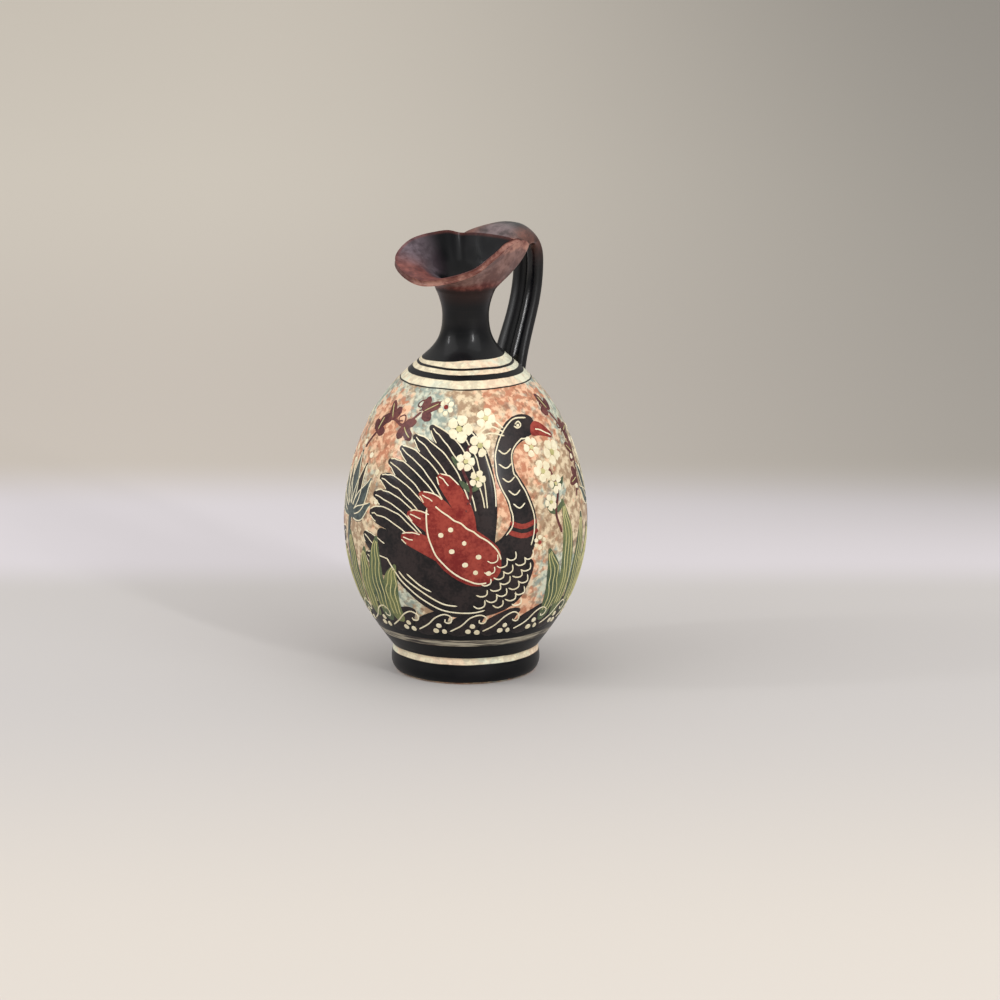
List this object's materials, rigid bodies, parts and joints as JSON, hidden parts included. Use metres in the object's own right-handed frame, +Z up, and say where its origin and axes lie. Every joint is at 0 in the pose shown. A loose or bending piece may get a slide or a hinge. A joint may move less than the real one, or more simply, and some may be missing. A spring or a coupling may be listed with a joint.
{
  "type": "pitcher",
  "caption": "Small painted clay pitcher with an egg-shaped body, ring foot, narrow neck, pinched trefoil pouring mouth and a grooved strap handle from rim to shoulder.",
  "frame": {"origin": "centre of the resting ring under the foot, on the surface it stands on", "axes": "+Z up along the body's axis; +X towards the handle, so the pouring lip points along -X"},
  "size_m": [0.0654, 0.0654, 0.1195],
  "materials": {
    "dark_slip": "satin black slip over fired clay, worn brown at the edges",
    "painted_clay": "sponge-mottled salmon, cream and blue-grey paint with black rings and incised lines, satin",
    "thin_slip": "thin slip fired red-brown, satin",
    "raw_slip": "matte fired clay slip in the joints"
  },
  "bodies": {
    "root": {"foot": "dark_slip", "foot_luting_slip": "raw_slip", "body": "painted_clay", "neck_luting_slip": "raw_slip", "neck": "dark_slip", "mouth_luting_slip": "raw_slip", "mouth": "thin_slip", "handle": "dark_slip", "handle_top_luting_slip": "raw_slip", "handle_root_luting_slip": "raw_slip"}
  },
  "joints": []
}
